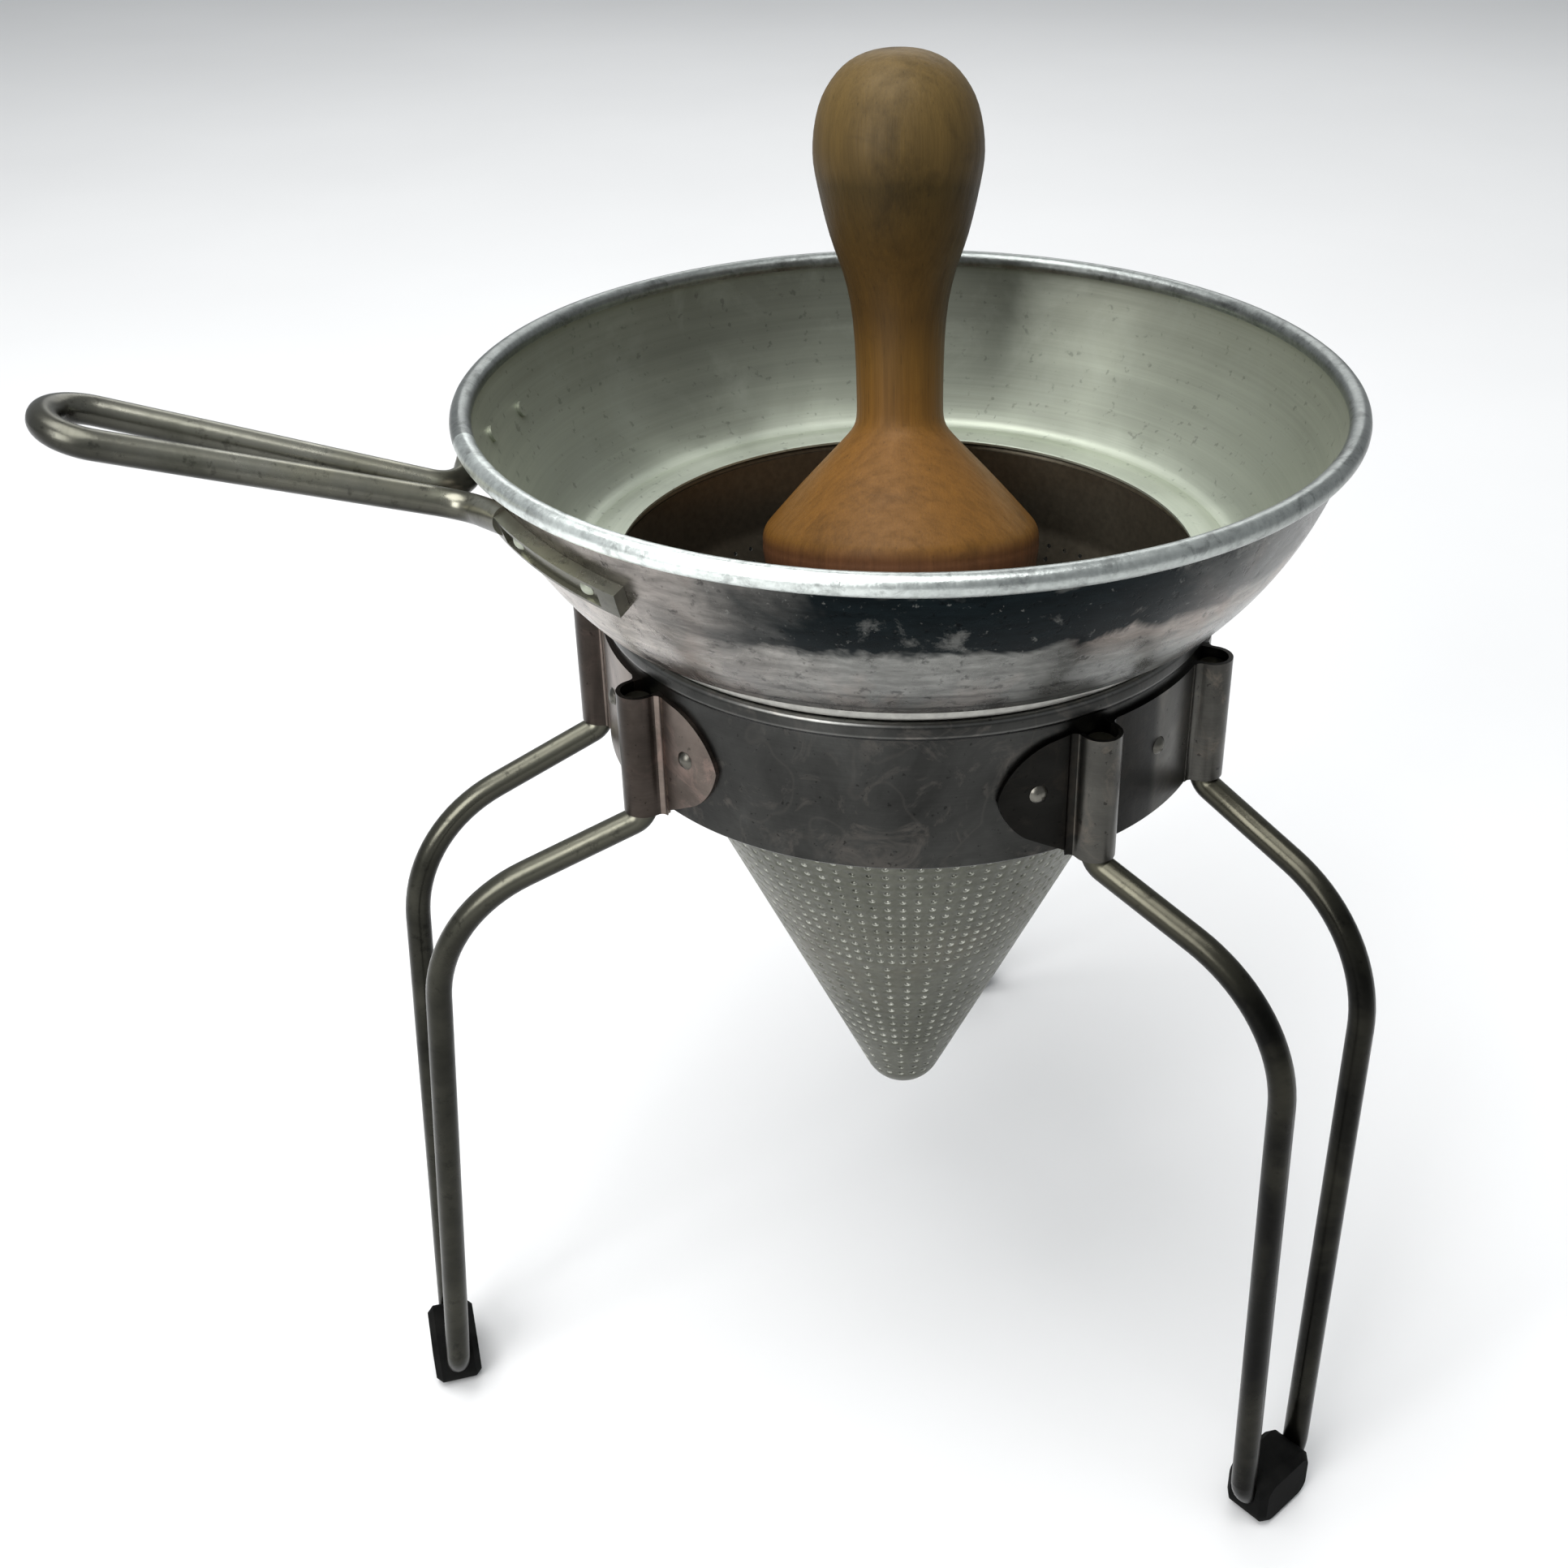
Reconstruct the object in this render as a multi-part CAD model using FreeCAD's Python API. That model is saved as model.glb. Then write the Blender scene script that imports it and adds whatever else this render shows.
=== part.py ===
import FreeCAD, Part
import math
import os

from FreeCAD import Vector

# Potato ricer: a perforated cone under a wide bowl, held in a three-legged ring stand, with a
# wooden pestle that rolls round inside the cone. Millimetres, +Z up, feet on Z = 0.
# Every piece is drawn about the cone's own axis and moved at the end, so that the origin lies
# under the middle of the whole object's box.

os.makedirs("parts", exist_ok=True)

# ---------------------------------------------------------------- driving dimensions
AXIS_X = 44.4               # where the cone's axis stands in the part's frame
AXIS_Y = -1.2

RIM_Z = 284.0               # height of the middle of the bowl's rim bead
RIM_R = 107.4               # radius of the rim bead's middle line
RIM_BEAD_R = 2.6

BOWL_WALL = 1.2
BOWL_ARC_R = 84.8           # the bowl's outer wall is an arc with this radius,
BOWL_ARC_X = 23.4           # centred at this distance from the axis
BOWL_ARC_Z = RIM_Z + 16.2   # and at this height
BOWL_CORNER_R = 7.0
BOWL_FLOOR_Z = 241.0        # underside of the flat flange round the throat
THROAT_R = 73.0

SIEVE_WALL = 0.8
COLLAR_R = 74.4             # outside of the plain collar
CONE_SLOPE = 0.4524         # cone radius per height
CONE_APEX_Z = 53.8          # where the cone's outer surface would come to a point
CONE_SHOULDER_R = 8.0
CONE_TIP_R = 11.6
SIEVE_BEAD_LOW = 235.6
SIEVE_BEAD_OUT = 78.2
SIEVE_BEAD_IN = 74.0

BAND_R = 76.9               # outside of the stand's band
BAND_WALL = 1.0
BAND_LOW = 195.7
BAND_BEAD_LOW = 230.3
BAND_BEAD_HIGH = 235.3
BAND_BEAD_IN = 74.8
BAND_BEAD_OUT = 78.0

PLATE = 1.1                 # bracket sheet
SOCKET_LOW = 194.6
SOCKET_HIGH = 227.6
SOCKET_ANGLE = 17.08        # each socket's azimuth from its leg's middle plane
SOCKET_R = 80.5             # wire axis from the cone's axis
SOCKET_BORE_R = 3.9
TAB_ANGLE = 28.0            # middle of each end tab
TAB_HALF_ANGLE = 7.0
TAB_NOSE_DROP = 14.4        # how far the tab's nose is under the sockets' top
TAB_RIVET_ANGLE = 27.56
RIVET_Z = 213.4
RIVET_SHANK_R = 1.2
RIVET_HEAD_R = 2.3
RIVET_HEAD_H = 1.2

LEG_WIRE_R = 3.3
LEG_WIRE_TOP = 225.4
ANKLE_BEND_R = 5.0          # bend just under the socket
ANKLE_Z = 192.2
KNEE_R = 130.0              # knee corner from the cone's axis
KNEE_HALF = 20.0            # half the wires' distance at the knee
KNEE_BEND_R = 41.0
FOOT_HALF = 11.2            # half the wires' distance at the foot
FOOT_BEND_R = 9.0
FOOT_WIRE_Z = 6.5           # wire axis at the bottom of the hairpin

FOOT_THICK = 13.0           # rubber, measured outwards from the stand
FOOT_BLOCK_HALF = 10.4
FOOT_H = 16.0
FOOT_CORNER_R = 5.0
FOOT_EDGE_CUT = 1.7         # chamfer round the top and the bottom

HANDLE_WIRE_R = 3.45
HANDLE_ROOT = 112.2         # where the two rods leave the bend at the bowl
HANDLE_ROOT_Z = RIM_Z - 12.2
HANDLE_LOOP = 185.0         # centre of the loop at the far end
HANDLE_LOOP_Z = RIM_Z + 13.6
HANDLE_ROOT_HALF = 5.0
HANDLE_LOOP_HALF = 10.4
ARM_THICK = 3.4             # flattened ends along the bowl's wall
ARM_HALF_H = 3.3
ARM_GAP = 0.05              # between an arm and the bowl's wall
ARM_Z = RIM_Z - 12.3
ARM_MIDDLE = 24.0           # azimuths from the handle's middle plane
ARM_START = 11.5
ARM_END = 36.0
ARM_SLOPE = 6.5             # degrees that each arm falls away from the rods
ARM_RIVET_ANGLES = (17.5, 30.8)
ARM_POCKET = 1.1
ARM_RIVET_HEAD_R = 1.9
ARM_RIVET_HEAD_H = 1.0

PESTLE_LEAN = 14.95         # degrees from upright, towards PESTLE_AZIMUTH
PESTLE_HEAD_R = 37.8
PESTLE_HEAD_AWAY = 36.2     # the head's widest circle: its centre from the cone's axis
PESTLE_HEAD_Z = 228.1
PESTLE_GAP = 0.4            # between wood and sieve
NECK_R = 11.6
KNOB_R = 22.6

# azimuths in degrees, counter-clockwise from +X
HANDLE_AZIMUTH = 180.0
PESTLE_AZIMUTH = 73.5
# each leg: azimuth, knee height, knee shift, foot distance, foot shift, foot twist. The wires are bent by
# hand, so the legs differ by a few millimetres.
LEGS = {
    "left": (-178.3, 169.4, -3.6, 139.9, -0.2, 3.0),
    "right": (-58.3, 171.1, 0.1, 134.8, -7.3, 6.5),
    "back": (61.7, 170.0, 0.0, 137.0, 0.0, 0.0),
}

Z_AXIS = Vector(0, 0, 1)
ORIGIN = Vector(0, 0, 0)


# ---------------------------------------------------------------- helpers
def at(radius, z):
    """A point of a section, which lies in the XZ plane."""
    return Vector(radius, 0, z)


def line(a, b):
    return Part.LineSegment(a, b).toShape()


def arc(a, middle, b):
    return Part.Arc(a, middle, b).toShape()


def on_circle(centre, radius, degrees):
    """A section point on a circle; 0 degrees points away from the axis, 90 up."""
    angle = math.radians(degrees)
    return at(centre.x + radius * math.cos(angle), centre.z + radius * math.sin(angle))


def round_edge(centre, radius, start, end):
    """A section arc between two angles about its centre."""
    points = [on_circle(centre, radius, angle) for angle in (start, (start + end) / 2, end)]
    return arc(*points)


def revolved(edges, start=0.0, sweep=360.0):
    """The solid that a closed section makes when it turns about the Z axis."""
    face = Part.Face(Part.Wire(Part.__sortEdges__(edges)))
    solid = face.revolve(ORIGIN, Z_AXIS, sweep)
    return turned(solid, start)


def turned(shape, degrees):
    copy = shape.copy()
    copy.rotate(ORIGIN, Z_AXIS, degrees)
    return copy


def ring(inner, outer, low, high):
    """A plain tube about the Z axis."""
    tube = Part.makeCylinder(outer, high - low, at(0, low))
    return tube.cut(Part.makeCylinder(inner, high - low, at(0, low)))


def upright_bead(inner, outer, low, high):
    """A bead whose section is an upright slot shape."""
    radius = (outer - inner) / 2
    middle = (outer + inner) / 2
    top = at(middle, high - radius)
    bottom = at(middle, low + radius)
    edges = [
        round_edge(top, radius, 0, 180),
        line(at(inner, top.z), at(inner, bottom.z)),
        round_edge(bottom, radius, 180, 360),
        line(at(outer, bottom.z), at(outer, top.z)),
    ]
    return revolved(edges)


def rounded_path(corners, radii):
    """Straight runs between the corners, each inner corner rounded to its radius."""
    edges = []
    start = corners[0]
    for before, corner, after, radius in zip(corners, corners[1:], corners[2:], radii):
        back = (before - corner).normalize()
        ahead = (after - corner).normalize()
        half = back.getAngle(ahead) / 2
        reach = radius / math.tan(half)
        inward = (back + ahead).normalize()
        centre = corner + inward * (radius / math.sin(half))
        first = corner + back * reach
        last = corner + ahead * reach
        edges.append(line(start, first))
        edges.append(arc(first, centre - inward * radius, last))
        start = last
    edges.append(line(start, corners[-1]))
    return Part.Wire(edges)


def bent_rod(corners, radii, rod_radius):
    path = rounded_path(corners, radii)
    circle = Part.makeCircle(rod_radius, corners[0], corners[1] - corners[0])
    return path.makePipeShell([Part.Wire(circle)], True, False)


def rivet(inner_face, outer_face, head_r, head_h):
    """A rivet along +X: a low domed head outside, a flat set head inside."""
    set_head_h = 0.8
    set_head_r = 2.0
    dome_r = (head_r ** 2 + head_h ** 2) / (2 * head_h)
    dome_x = outer_face + head_h - dome_r
    half = math.asin(head_r / dome_r) / 2
    rim = Vector(outer_face, 0, head_r)
    crown = Vector(outer_face + head_h, 0, 0)
    between = Vector(dome_x + dome_r * math.cos(half), 0, dome_r * math.sin(half))
    points = [
        crown,
        Vector(inner_face - set_head_h, 0, 0),
        Vector(inner_face - set_head_h, 0, set_head_r),
        Vector(inner_face, 0, set_head_r),
        Vector(inner_face, 0, RIVET_SHANK_R),
        Vector(outer_face, 0, RIVET_SHANK_R),
        rim,
    ]
    edges = [line(a, b) for a, b in zip(points, points[1:])]
    edges.append(arc(rim, between, crown))
    face = Part.Face(Part.Wire(edges))
    return face.revolve(ORIGIN, Vector(1, 0, 0), 360)


def rivet_hole(length):
    """The hole for a shank, from the axis outwards along +X."""
    return Part.makeCylinder(RIVET_SHANK_R, length, ORIGIN, Vector(1, 0, 0))


# ---------------------------------------------------------------- stand
def bracket_rivet_places():
    return (-TAB_RIVET_ANGLE, 0.0, TAB_RIVET_ANGLE)


def place_bracket_rivet(shape, leg_azimuth, angle):
    lifted = shape.copy()
    lifted.translate(Vector(0, 0, RIVET_Z))
    return turned(lifted, leg_azimuth + angle)


def stand_ring():
    band = ring(BAND_R - BAND_WALL, BAND_R, BAND_LOW, BAND_BEAD_LOW + 2)
    bead = upright_bead(BAND_BEAD_IN, BAND_BEAD_OUT, BAND_BEAD_LOW, BAND_BEAD_HIGH)
    body = band.fuse(bead).removeSplitter()
    for leg in LEGS.values():
        for angle in bracket_rivet_places():
            body = body.cut(place_bracket_rivet(rivet_hole(2 * BAND_R), leg[0], angle))
    return body


def socket_section(radius, inner_limit):
    """Plan of a socket: round outside, straight back to the band."""
    disc = Part.makeCylinder(radius, SOCKET_HIGH - SOCKET_LOW, Vector(SOCKET_R, 0, SOCKET_LOW))
    corner = Vector(inner_limit, -radius, SOCKET_LOW)
    block = Part.makeBox(SOCKET_R - inner_limit, 2 * radius, SOCKET_HIGH - SOCKET_LOW, corner)
    return disc.fuse(block)


def socket_flare(side):
    """The small round where the socket's sheet turns out into the plate."""
    flare_r = 1.6
    face = SOCKET_BORE_R + PLATE
    height = SOCKET_HIGH - SOCKET_LOW
    base = BAND_R + PLATE - 0.3
    low_side = face if side > 0 else -face - flare_r
    block = Part.makeBox(flare_r + 0.3, flare_r, height, Vector(base, low_side, SOCKET_LOW))
    centre = Vector(base + 0.3 + flare_r, side * (face + flare_r), SOCKET_LOW)
    return block.cut(Part.makeCylinder(flare_r, height, centre))


def tab_outline(side):
    """A rounded triangular tab, cut from a prism that stands outwards from the band."""
    half = math.radians(TAB_HALF_ANGLE) * BAND_R
    start = BAND_R - 6
    top = SOCKET_HIGH

    def corner(from_nose, below_top):
        return Vector(start, half - from_nose, top - below_top)

    top_root = corner(2 * half, 0)
    top_bend = corner(2 * half - 6.5, 1.2)
    nose = corner(0, TAB_NOSE_DROP)
    low_bend = corner(7.0, TAB_NOSE_DROP + 11.2)
    low_root = corner(2 * half, top - SOCKET_LOW - 0.6)
    edges = [
        line(top_root, top_bend),
        arc(top_bend, corner(3.2, 7.4), nose),
        arc(nose, corner(1.9, TAB_NOSE_DROP + 5.2), low_bend),
        line(low_bend, low_root),
        line(low_root, top_root),
    ]
    prism = Part.Face(Part.Wire(edges)).extrude(Vector(12, 0, 0))
    if side < 0:
        prism = prism.mirror(ORIGIN, Vector(0, 1, 0))
    return turned(prism, side * TAB_ANGLE)


def leg_bracket(azimuth):
    shell = ring(BAND_R, BAND_R + PLATE, SOCKET_LOW, SOCKET_HIGH)
    reach = BAND_R + 12
    half_width = reach * math.tan(math.radians(TAB_ANGLE - TAB_HALF_ANGLE + 0.5))
    wedge = Part.makePolygon([
        ORIGIN,
        Vector(reach, -half_width, 0),
        Vector(reach, half_width, 0),
        ORIGIN,
    ])
    middle = Part.Face(wedge).extrude(Vector(0, 0, SOCKET_HIGH))
    plate = shell.common(middle.fuse([tab_outline(1), tab_outline(-1)]))
    for side in (-1, 1):
        body = socket_section(SOCKET_BORE_R + PLATE, BAND_R - 2)
        body = body.fuse([socket_flare(1), socket_flare(-1)])
        plate = plate.fuse(turned(body, side * SOCKET_ANGLE))
    for side in (-1, 1):
        plate = plate.cut(turned(socket_section(SOCKET_BORE_R, BAND_R - 4), side * SOCKET_ANGLE))
    plate = plate.cut(Part.makeCylinder(BAND_R, SOCKET_HIGH, ORIGIN))
    plate = turned(plate, azimuth)
    for angle in bracket_rivet_places():
        plate = plate.cut(place_bracket_rivet(rivet_hole(2 * BAND_R), azimuth, angle))
    return plate.removeSplitter()


def bracket_rivets(azimuth):
    faces = (BAND_R - BAND_WALL - 0.04, BAND_R + PLATE + 0.01)
    one = rivet(*faces, RIVET_HEAD_R, RIVET_HEAD_H)
    return [place_bracket_rivet(one, azimuth, angle) for angle in bracket_rivet_places()]


# ---------------------------------------------------------------- legs
def leg_wire(azimuth, knee_z, knee_shift, foot_away, foot_shift, foot_twist):
    """One hairpin: down out of a socket, out to the knee, down to the foot and back."""
    across = SOCKET_R * math.sin(math.radians(SOCKET_ANGLE))
    away = SOCKET_R * math.cos(math.radians(SOCKET_ANGLE))
    twist = math.radians(foot_twist)

    def half(side):
        foot = Vector(
            foot_away + side * FOOT_HALF * math.sin(twist),
            foot_shift + side * FOOT_HALF * math.cos(twist),
            FOOT_WIRE_Z,
        )
        return [
            Vector(away, side * across, LEG_WIRE_TOP),
            Vector(away, side * across, ANKLE_Z),
            Vector(KNEE_R, side * KNEE_HALF + knee_shift, knee_z),
            foot,
        ]

    corners = half(1) + half(-1)[::-1]
    radii = [ANKLE_BEND_R, KNEE_BEND_R, FOOT_BEND_R, FOOT_BEND_R, KNEE_BEND_R, ANKLE_BEND_R]
    return turned(bent_rod(corners, radii, LEG_WIRE_R), azimuth)


def rubber_foot(azimuth, foot_away, foot_shift, foot_twist, wire):
    """A rubber block round the hairpin's loop, with the wire let into its sides and bottom."""
    corner = Vector(-FOOT_THICK / 2, -FOOT_BLOCK_HALF, 0)
    foot = Part.makeBox(FOOT_THICK, 2 * FOOT_BLOCK_HALF, FOOT_H, corner)
    across = [
        edge for edge in foot.Edges
        if abs(edge.Vertexes[0].Point.x - edge.Vertexes[-1].Point.x) > FOOT_THICK / 2
    ]
    foot = foot.makeFillet(FOOT_CORNER_R, across)
    outline = [
        edge for edge in foot.Edges
        if all(abs(abs(vertex.Point.x) - FOOT_THICK / 2) < 0.01 for vertex in edge.Vertexes)
        and abs(edge.Vertexes[0].Point.x - edge.Vertexes[-1].Point.x) < 0.01
        and edge.BoundBox.ZMax > 0.01
    ]
    foot = foot.makeChamfer(FOOT_EDGE_CUT, outline)
    foot.rotate(ORIGIN, Z_AXIS, -foot_twist)
    foot.translate(Vector(foot_away, foot_shift, 0))
    return turned(foot, azimuth).cut(wire).removeSplitter()


# ---------------------------------------------------------------- strainer
def bowl_section(inset):
    """The bowl's wall line from rim to throat, moved inwards by inset."""
    centre = at(BOWL_ARC_X, BOWL_ARC_Z)
    radius = BOWL_ARC_R - inset
    floor = BOWL_FLOOR_Z + inset
    corner_r = BOWL_CORNER_R - inset
    corner_z = BOWL_FLOOR_Z + BOWL_CORNER_R
    drop = corner_z - BOWL_ARC_Z
    corner_x = BOWL_ARC_X + math.sqrt((BOWL_ARC_R - BOWL_CORNER_R) ** 2 - drop ** 2)
    top_angle = math.degrees(math.asin((RIM_Z - BOWL_ARC_Z) / radius))
    low_angle = math.degrees(math.atan2(drop, corner_x - BOWL_ARC_X))
    wall = round_edge(centre, radius, top_angle, low_angle)
    corner = round_edge(at(corner_x, corner_z), corner_r, low_angle, -90)
    flange = line(at(corner_x, floor), at(THROAT_R, floor))
    return wall, corner, flange


def hopper_bowl():
    outer = bowl_section(0)
    inner = bowl_section(BOWL_WALL)
    lip = line(at(THROAT_R, BOWL_FLOOR_Z), at(THROAT_R, BOWL_FLOOR_Z + BOWL_WALL))
    rim = line(outer[0].Vertexes[0].Point, inner[0].Vertexes[0].Point)
    bowl = revolved([*outer, *inner, lip, rim])
    bead = Part.makeTorus(RIM_R, RIM_BEAD_R, at(0, RIM_Z))
    bowl = bowl.fuse(bead).removeSplitter()
    for hole in handle_rivet_shapes(rivet_hole(BOWL_ARC_R + 20)):
        bowl = bowl.cut(hole)
    return bowl


def cone_section(inset):
    """The sieve's wall line from the top of its collar to the tip, moved inwards by inset."""
    half = math.atan(CONE_SLOPE)
    tip = at(0, CONE_APEX_Z + CONE_TIP_R / math.sin(half))
    tip_r = CONE_TIP_R - inset
    tip_point = on_circle(tip, tip_r, -math.degrees(half))
    shoulder_r = CONE_SHOULDER_R - inset
    corner_z = CONE_APEX_Z + COLLAR_R / CONE_SLOPE
    shoulder = at(COLLAR_R - CONE_SHOULDER_R, corner_z + CONE_SHOULDER_R * math.tan(half / 2))
    low_point = on_circle(shoulder, shoulder_r, -math.degrees(half))
    top = at(COLLAR_R - inset, SIEVE_BEAD_LOW + 3.6)
    side_point = on_circle(shoulder, shoulder_r, 0)
    tip_end = at(0, tip.z - tip_r)
    middle = on_circle(tip, tip_r, -(math.degrees(half) + 90) / 2)
    edges = [
        line(top, side_point),
        round_edge(shoulder, shoulder_r, 0, -math.degrees(half)),
        line(low_point, tip_point),
        arc(tip_point, middle, tip_end),
    ]
    return edges, top, tip_end


def sieve_cone():
    outer, outer_top, outer_tip = cone_section(0)
    inner, inner_top, inner_tip = cone_section(SIEVE_WALL)
    cone = revolved([*outer, *inner, line(outer_top, inner_top), line(outer_tip, inner_tip)])
    bead = upright_bead(SIEVE_BEAD_IN, SIEVE_BEAD_OUT, SIEVE_BEAD_LOW, BOWL_FLOOR_Z)
    return cone.fuse(bead).removeSplitter()


def arm_block(inner, outer, half_height, start, end):
    """A bar that lies on the bowl's outer wall; inner and outer are heights above the wall."""
    centre = at(BOWL_ARC_X, BOWL_ARC_Z)
    drop = BOWL_ARC_Z - ARM_Z
    middle = -math.degrees(math.asin(drop / BOWL_ARC_R))
    half = math.degrees(half_height / BOWL_ARC_R)
    low = middle - half
    high = middle + half
    near = BOWL_ARC_R + inner
    far = BOWL_ARC_R + outer
    edges = [
        round_edge(centre, near, low, high),
        line(on_circle(centre, near, high), on_circle(centre, far, high)),
        round_edge(centre, far, high, low),
        line(on_circle(centre, far, low), on_circle(centre, near, low)),
    ]
    return revolved(edges, start, end - start)


def onto_arm(shape, side):
    """Lays a shape drawn at azimuth 0 on the wall where one arm's middle is, along its fall."""
    down = math.asin((BOWL_ARC_Z - ARM_Z) / BOWL_ARC_R)
    outward = Vector(math.cos(down), 0, -math.sin(down))
    copy = shape.copy()
    copy.rotate(at(BOWL_ARC_X, BOWL_ARC_Z), outward, -side * ARM_SLOPE)
    return turned(copy, HANDLE_AZIMUTH + side * ARM_MIDDLE)


def handle_rivet_shapes(shape):
    """Copies of a shape drawn along +X, laid along the wall's normal at each handle rivet."""
    down = math.degrees(math.asin((BOWL_ARC_Z - ARM_Z) / BOWL_ARC_R))
    upright = shape.copy()
    upright.rotate(ORIGIN, Vector(0, 1, 0), down)
    upright.translate(at(BOWL_ARC_X, BOWL_ARC_Z))
    copies = []
    for side in (1, -1):
        for angle in ARM_RIVET_ANGLES:
            copies.append(onto_arm(turned(upright, side * (angle - ARM_MIDDLE)), side))
    return copies


def handle_rivets():
    faces = (BOWL_ARC_R - BOWL_WALL - 0.05, BOWL_ARC_R + ARM_THICK - ARM_POCKET + 0.02)
    return handle_rivet_shapes(rivet(*faces, ARM_RIVET_HEAD_R, ARM_RIVET_HEAD_H))


def room_in_bowl():
    """All the space inside the bowl's outer wall line."""
    wall = bowl_section(0)[0]
    top = wall.Vertexes[0].Point
    low = wall.Vertexes[-1].Point
    edges = [wall, line(low, at(0, low.z)), line(at(0, low.z), at(0, top.z)), line(at(0, top.z), top)]
    return revolved(edges)


def handle():
    rise = (HANDLE_LOOP_Z - HANDLE_ROOT_Z) / (HANDLE_LOOP - HANDLE_ROOT)
    spread = (HANDLE_LOOP_HALF - HANDLE_ROOT_HALF) / (HANDLE_LOOP - HANDLE_ROOT)
    root_corner = 108.5
    wall_touch = 105.2
    touch_z = RIM_Z - 9.6

    def rod_point(away, side):
        step = away - HANDLE_ROOT
        across = side * (HANDLE_ROOT_HALF + spread * step)
        return Vector(away, across, HANDLE_ROOT_Z + rise * step)

    def half(side):
        angle = math.radians(ARM_START + 2.0)
        end = Vector(wall_touch * math.cos(angle), side * wall_touch * math.sin(angle), touch_z)
        return [end, rod_point(root_corner, side), rod_point(HANDLE_LOOP + 10.4, side)]

    corners = half(1) + half(-1)[::-1]
    loop_r = 10.2
    root_r = 9.0
    rod = bent_rod(corners, [root_r, loop_r, loop_r, root_r], HANDLE_WIRE_R)
    rod = turned(rod, HANDLE_AZIMUTH).cut(room_in_bowl())
    pieces = []
    for side in (1, -1):
        ends = sorted(side * (angle - ARM_MIDDLE) for angle in (ARM_START, ARM_END))
        dent_ends = sorted(side * (angle - ARM_MIDDLE) for angle in (14.6, 33.2))
        arm = arm_block(ARM_GAP, ARM_THICK, ARM_HALF_H, *ends)
        dent = arm_block(ARM_THICK - ARM_POCKET, ARM_THICK + 8, ARM_HALF_H - 0.8, *dent_ends)
        pieces.append(onto_arm(arm.cut(dent), side))
    return rod.fuse(pieces)


# ---------------------------------------------------------------- pestle
def pestle():
    """Turned wood: a tapered roller with a round end, a flared head, a neck and a knob."""
    lean = math.radians(PESTLE_LEAN)
    half = math.atan(CONE_SLOPE)
    taper = half - lean
    apex = CONE_APEX_Z + SIEVE_WALL / math.sin(half)
    pivot_z = PESTLE_HEAD_Z - PESTLE_HEAD_AWAY / math.tan(lean)
    ball_r = (pivot_z - apex) * math.sin(half) - PESTLE_GAP
    head_s = PESTLE_HEAD_AWAY / math.sin(lean)

    def roller_r(s):
        return ball_r / math.cos(taper) + s * math.tan(taper)

    ball = at(0, 0)
    ball_end = on_circle(ball, ball_r, -math.degrees(taper))
    ball_low = at(0, -ball_r)
    ball_mid = on_circle(ball, ball_r, -(math.degrees(taper) + 90) / 2)
    edge_low = at(roller_r(head_s - 2.0), head_s - 2.0)
    edge_mid = at(PESTLE_HEAD_R, head_s + 0.6)
    shoulder = at(PESTLE_HEAD_R - 2.6, head_s + 5.6)
    neck_low = at(NECK_R, head_s + 32.5)
    knob_top = at(0, head_s + 127.3)
    knob = Part.BSplineCurve()
    knob.interpolate(
        [
            neck_low,
            at(NECK_R + 0.1, head_s + 46.0),
            at(NECK_R + 0.6, head_s + 58.6),
            at(14.0, head_s + 68.0),
            at(18.3, head_s + 79.5),
            at(KNOB_R, head_s + 101.0),
            at(15.6, head_s + 121.4),
            knob_top,
        ],
        InitialTangent=Vector(0, 0, 1),
        FinalTangent=Vector(-1, 0, 0),
    )
    edges = [
        arc(ball_low, ball_mid, ball_end),
        line(ball_end, edge_low),
        line(edge_low, edge_mid),
        arc(edge_mid, at(PESTLE_HEAD_R - 0.5, head_s + 3.2), shoulder),
        line(shoulder, neck_low),
        knob.toShape(),
        line(knob_top, ball_low),
    ]
    body = revolved(edges)
    body.rotate(ORIGIN, Vector(0, 1, 0), PESTLE_LEAN)
    body.translate(at(0, pivot_z))
    return turned(body, PESTLE_AZIMUTH)


# ---------------------------------------------------------------- assembly
def build():
    shapes = {"stand_ring": stand_ring()}
    for name, (azimuth, knee_z, knee_shift, *foot_place) in LEGS.items():
        wire = leg_wire(azimuth, knee_z, knee_shift, *foot_place)
        shapes["leg_bracket_" + name] = leg_bracket(azimuth)
        for place, one in zip(("right", "middle", "left"), bracket_rivets(azimuth)):
            shapes["bracket_rivet_" + name + "_" + place] = one
        shapes["leg_" + name] = wire
        shapes["foot_" + name] = rubber_foot(azimuth, *foot_place, wire)
    bowl = hopper_bowl()
    grip = handle()
    for hole in handle_rivet_shapes(rivet_hole(BOWL_ARC_R + 20)):
        grip = grip.cut(hole)
    shapes["hopper_bowl"] = bowl
    shapes["sieve_cone"] = sieve_cone()
    shapes["handle"] = grip.cut(bowl)
    places = ("near_root", "near_end", "far_root", "far_end")
    for place, one in zip(places, handle_rivets()):
        shapes["handle_rivet_" + place] = one
    shapes["pestle"] = pestle()
    return shapes


def main():
    shapes = build()
    whole = Part.makeCompound(list(shapes.values())).BoundBox
    print("box about the cone's axis", whole)
    for name, shape in shapes.items():
        placed = shape.copy()
        placed.translate(Vector(AXIS_X, AXIS_Y, 0))
        print(name, "solids", len(placed.Solids), "valid", placed.isValid(),
              "volume", round(placed.Volume))
        placed.exportStep("parts/" + name + ".step")


main()
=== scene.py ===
"""Looks of the potato ricer: a perforated cone under a spun bowl, a wire stand and a wooden pestle."""

import math

import bmesh
import bpy
from mathutils import Matrix, Vector


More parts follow.
